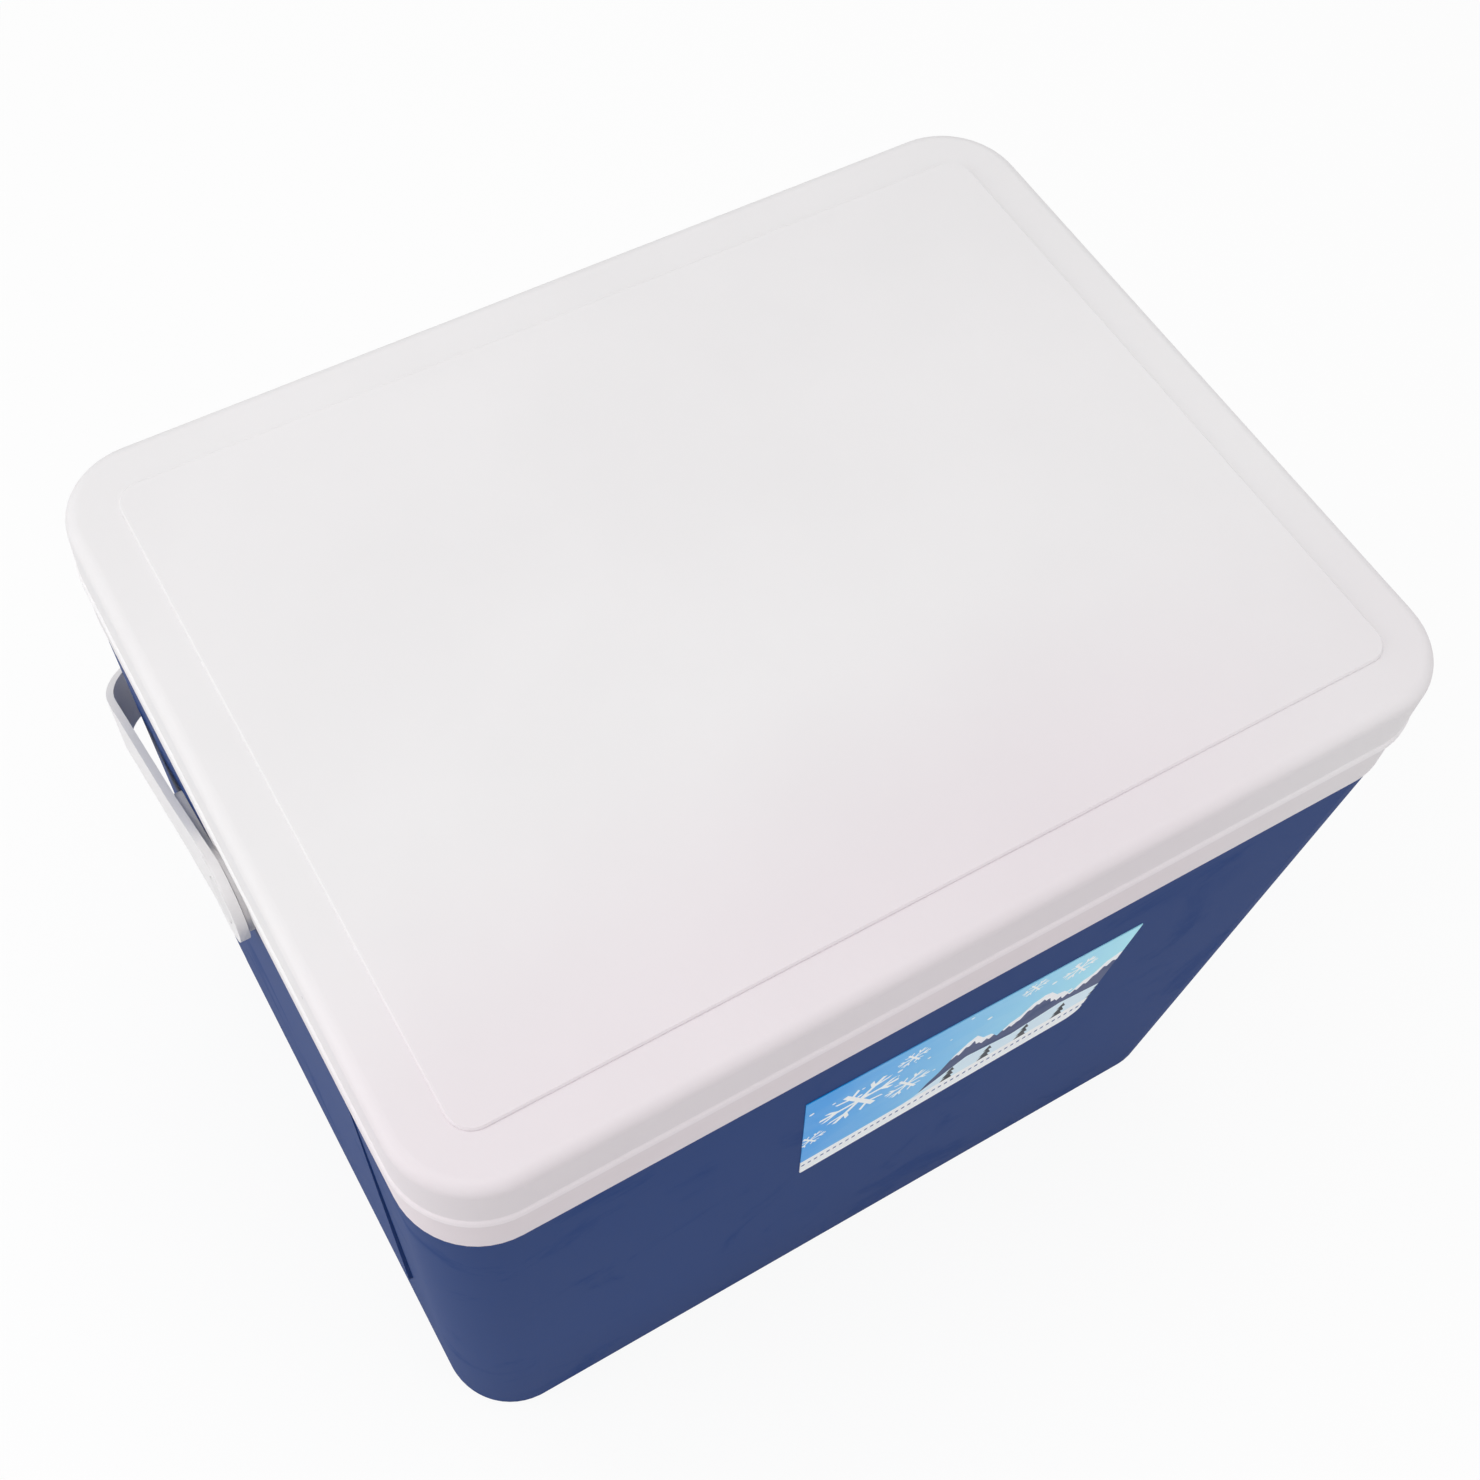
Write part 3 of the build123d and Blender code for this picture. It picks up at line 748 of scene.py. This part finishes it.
class CARRIER_OT_build_caps(bpy.types.Operator):
    """Models one ribbed screw cap and puts one on each ice pack"""

    bl_idname = "carrier.build_caps"
    bl_label = "Build Caps"

    # Sizes in metres
    radius = 0.0135
    rib_depth = 0.0006
    rib_foot = 0.0015
    rib_head = 0.002
    top_thickness = 0.0018
    soft_edge = 0.00025

    def execute(self, context):
        sizes = context.scene.carrier_packs
        low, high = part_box("ice_pack_cap_2")
        height = high[2] - low[2]

        clear_selection()
        bpy.ops.mesh.primitive_cylinder_add(
            vertices=sizes.cap_ribs * 2, radius=self.radius - self.rib_depth, depth=height,
            location=(0, 0, height / 2),
        )
        cap = context.object
        cap.name = "screw_cap"
        bake_place(cap)
        bpy.ops.object.mode_set(mode="EDIT")
        for level in (self.rib_foot, height - self.rib_head):
            pick_faces(cap, lambda face: True)
            bpy.ops.mesh.bisect(plane_co=(0, 0, level), plane_no=(0, 0, 1))
        middle = height / 2
        step = math.pi / sizes.cap_ribs

        def is_rib(face):
            """Every other face of the ribbed middle, counted round the cap."""
            count = int(round(math.atan2(face.normal.y, face.normal.x) / step - 0.5))
            level = abs(face.calc_center_median().z - middle) < 0.002
            return abs(face.normal.z) < 0.1 and level and count % 2 == 0

        pick_faces(cap, is_rib)
        bpy.ops.mesh.inset(thickness=0.0001, depth=0.0005, use_individual=True)
        pick_faces(cap, lambda face: face.normal.z > 0.9)
        bpy.ops.mesh.inset(thickness=0.0016)
        bpy.ops.mesh.inset(thickness=0.0010, depth=-0.0008)
        pick_faces(cap, lambda face: face.normal.z < -0.9)
        bpy.ops.mesh.inset(thickness=0.0025)
        hollow = height - self.top_thickness
        bpy.ops.mesh.extrude_region_move(TRANSFORM_OT_translate={"value": (0, 0, hollow)})
        bpy.ops.object.mode_set(mode="OBJECT")
        soften_edges(cap, self.soft_edge, 40)
        bpy.ops.object.shade_smooth_by_angle(angle=math.radians(30))

        finish = moulded("cap_blue", tuple(sizes.cap_colour), 0.3, 0.4, grain=1600.0)
        for number in range(1, PACK_COUNT + 1):
            low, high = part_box(f"ice_pack_cap_{number}")
            copy = cap.copy()
            copy.data = cap.data.copy()
            copy.name = f"screw_cap_{number}"
            context.collection.objects.link(copy)
            copy.location = ((low[0] + high[0]) / 2, (low[1] + high[1]) / 2, low[2])
            bake_place(copy)
            wear(copy, finish.material)
            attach(copy, f"pack_{number}")
            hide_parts(f"ice_pack_cap_{number}")
        bpy.data.objects.remove(cap)
        return {"FINISHED"}


class CARRIER_OT_set_stage(bpy.types.Operator):
    """Builds the pale floor, the soft lights, the even room light and the camera"""

    bl_idname = "carrier.set_stage"
    bl_label = "Set Stage"

    floor_size = 14.0
    paper_seen = 0.90  # share of plain white that the camera sees on the floor
    paper_mirrored = 0.35  # and that reflections see
    aim_point = (0.0, 0.0, 0.2)
    lens_shift = (0.04765, -0.06538)

    def floor(self, context):
        clear_selection()
        bpy.ops.mesh.primitive_plane_add(size=self.floor_size, location=(0, 0, 0))
        floor = context.object
        floor.name = "studio_floor"
        bpy.ops.object.mode_set(mode="EDIT")
        bpy.ops.mesh.select_all(action="SELECT")
        bpy.ops.mesh.subdivide(number_cuts=3)
        bpy.ops.object.mode_set(mode="OBJECT")
        paper = Finish("studio_paper")
        paper.set(Roughness=0.9, Specular_IOR_Level=0.1)
        mottle = paper.spread(paper.noise(3.0, 3.0), 0.3, 0.7)
        paper.colour(paper.blend(mottle, (0.88, 0.88, 0.88), (0.90, 0.90, 0.90)))
        tree = paper.tree
        glow = tree.nodes.new("ShaderNodeEmission")
        glow.inputs["Color"].default_value = (1.0, 1.0, 1.0, 1.0)
        glow.inputs["Strength"].default_value = 1.0
        path = tree.nodes.new("ShaderNodeLightPath").outputs
        mirrored = paper.math("MAXIMUM", path["Is Glossy Ray"], path["Is Transmission Ray"])
        seen = paper.product(path["Is Camera Ray"], self.paper_seen)
        seen = paper.math("MAXIMUM", seen, paper.product(mirrored, self.paper_mirrored))
        mix = tree.nodes.new("ShaderNodeMixShader")
        paper.join(seen, mix.inputs["Fac"])
        paper.join(paper.shader.outputs["BSDF"], mix.inputs[1])
        paper.join(glow.outputs["Emission"], mix.inputs[2])
        paper.join(mix.outputs["Shader"], tree.nodes["Material Output"].inputs["Surface"])
        wear(floor, paper.material)

    def room(self, context, strength):
        world = bpy.data.worlds.new("studio_room")
        context.scene.world = world
        world.use_nodes = True
        tree = world.node_tree
        back = tree.nodes["Background"]
        back.inputs["Color"].default_value = (1.0, 1.0, 1.0, 1.0)
        path = tree.nodes.new("ShaderNodeLightPath").outputs
        seen = path["Is Camera Ray"]
        for other in ("Is Transmission Ray", "Is Glossy Ray"):
            either = tree.nodes.new("ShaderNodeMath")
            either.operation = "MAXIMUM"
            tree.links.new(seen, either.inputs[0])
            tree.links.new(path[other], either.inputs[1])
            seen = either.outputs["Value"]
        level = tree.nodes.new("ShaderNodeMapRange")
        level.inputs["To Min"].default_value = strength
        level.inputs["To Max"].default_value = 1.0
        tree.links.new(seen, level.inputs["Value"])
        tree.links.new(level.outputs["Result"], back.inputs["Strength"])

    def lamp(self, context, name, place, size, power):
        """A rectangular area light that faces the carrier."""
        clear_selection()
        bpy.ops.object.light_add(type="AREA", location=place)
        lamp = context.object
        lamp.name = name
        lamp.data.shape = "RECTANGLE"
        lamp.data.size, lamp.data.size_y = size
        lamp.data.energy = power
        aim = Vector(self.aim_point) - Vector(place)
        lamp.rotation_euler = aim.to_track_quat("-Z", "Y").to_euler()

    def camera(self, context, studio):
        clear_selection()
        bpy.ops.object.camera_add(location=studio.camera_place, rotation=studio.camera_turn)
        camera = context.object
        camera.name = "studio_camera"
        camera.data.lens = studio.focal_length
        camera.data.sensor_width = 36.0
        camera.data.sensor_fit = "HORIZONTAL"
        camera.data.shift_x, camera.data.shift_y = self.lens_shift
        camera.data.clip_start = 0.01
        camera.data.clip_end = 100.0
        context.scene.camera = camera

    def execute(self, context):
        studio = context.scene.carrier_studio
        self.floor(context)
        self.room(context, studio.sky_strength)
        self.lamp(context, "key_light", (-0.3, 0.0, 2.2), (2.2, 1.8), studio.key_power)
        self.lamp(context, "side_light", (-1.9, 0.3, 0.9), (1.2, 1.0), studio.fill_power)
        self.lamp(context, "front_light", (1.3, -1.7, 0.8), (1.4, 0.9), studio.front_power)
        self.camera(context, studio)
        context.scene.view_settings.view_transform = "Standard"
        return {"FINISHED"}


OPERATORS = (
    CARRIER_OT_finish_tub,
    CARRIER_OT_finish_lid,
    CARRIER_OT_finish_liner,
    CARRIER_OT_finish_handle,
    CARRIER_OT_finish_insulation,
    CARRIER_OT_print_label,
    CARRIER_OT_build_packs,
    CARRIER_OT_build_caps,
    CARRIER_OT_set_stage,
)


class CARRIER_PT_sidebar(bpy.types.Panel):
    """Lists the carrier's settings and its build steps"""

    bl_idname = "CARRIER_PT_sidebar"
    bl_label = "Vaccine Carrier"
    bl_space_type = "VIEW_3D"
    bl_region_type = "UI"
    bl_category = "Carrier"

    def draw(self, context):
        layout = self.layout
        scene = context.scene
        groups = (
            scene.carrier_finishes, scene.carrier_label, scene.carrier_packs, scene.carrier_studio,
        )
        for group in groups:
            box = layout.box()
            for name in group.__annotations__:
                box.prop(group, name)
        for operator in OPERATORS:
            layout.operator(operator.bl_idname)


CLASSES = (
    CarrierFinishes,
    LabelColours,
    IcePackSizes,
    StudioSettings,
    *OPERATORS,
    CARRIER_PT_sidebar,
)


def register():
    for item in CLASSES:
        bpy.utils.register_class(item)
    bpy.types.Scene.carrier_finishes = PointerProperty(type=CarrierFinishes)
    bpy.types.Scene.carrier_label = PointerProperty(type=LabelColours)
    bpy.types.Scene.carrier_packs = PointerProperty(type=IcePackSizes)
    bpy.types.Scene.carrier_studio = PointerProperty(type=StudioSettings)


def unregister():
    del bpy.types.Scene.carrier_studio
    del bpy.types.Scene.carrier_packs
    del bpy.types.Scene.carrier_label
    del bpy.types.Scene.carrier_finishes
    for item in reversed(CLASSES):
        bpy.utils.unregister_class(item)


def main():
    register()
    bpy.ops.carrier.finish_tub()
    bpy.ops.carrier.finish_lid()
    bpy.ops.carrier.finish_liner()
    bpy.ops.carrier.finish_handle()
    bpy.ops.carrier.finish_insulation()
    bpy.ops.carrier.print_label()
    bpy.ops.carrier.build_packs()
    bpy.ops.carrier.build_caps()
    bpy.ops.carrier.set_stage()


if __name__ == "__main__":
    main()
